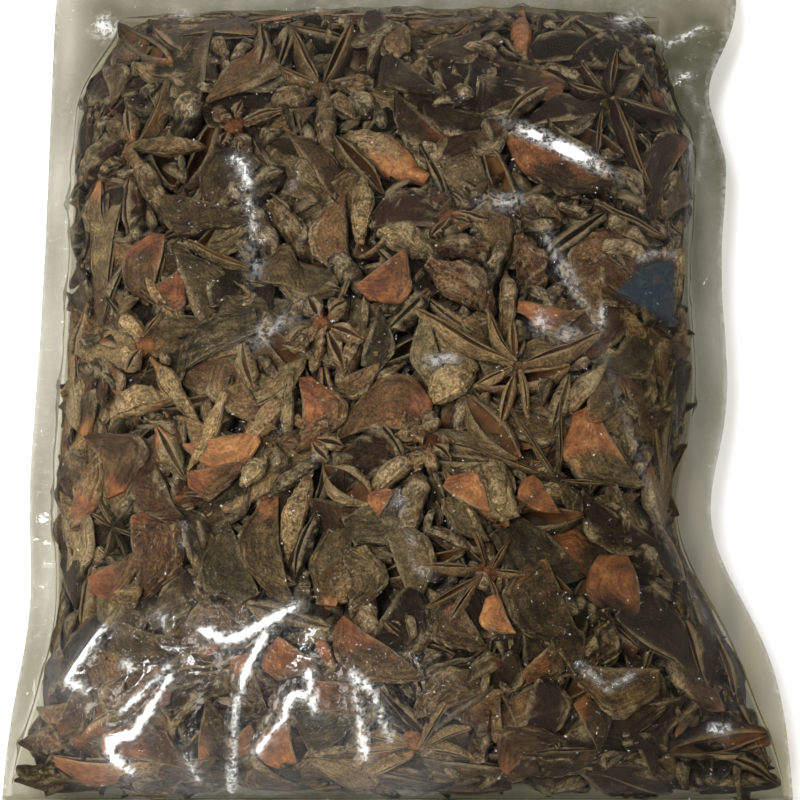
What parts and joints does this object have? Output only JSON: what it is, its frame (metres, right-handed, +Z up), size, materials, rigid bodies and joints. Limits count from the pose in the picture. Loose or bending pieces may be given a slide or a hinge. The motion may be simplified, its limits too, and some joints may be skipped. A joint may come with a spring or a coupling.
{
  "type": "clear bag of star anise",
  "caption": "Clear sealed plastic bag lying flat, filled tight with dried star anise: whole stars and loose follicles pressed against the film, empty film at the sealed top.",
  "frame": {"origin": "on the surface the bag lies on, under the middle of its bounding box", "axes": "+Z up through the bag's thickness, +Y along its length towards the empty sealed top"},
  "size_m": [0.1439, 0.191, 0.0374],
  "materials": {
    "star_anise": "dry, wrinkled seed pods with smooth orange-brown insides",
    "clear_film": "clear glossy film"
  },
  "bodies": {
    "root": {"filled_bag": "star_anise"}
  },
  "joints": []
}
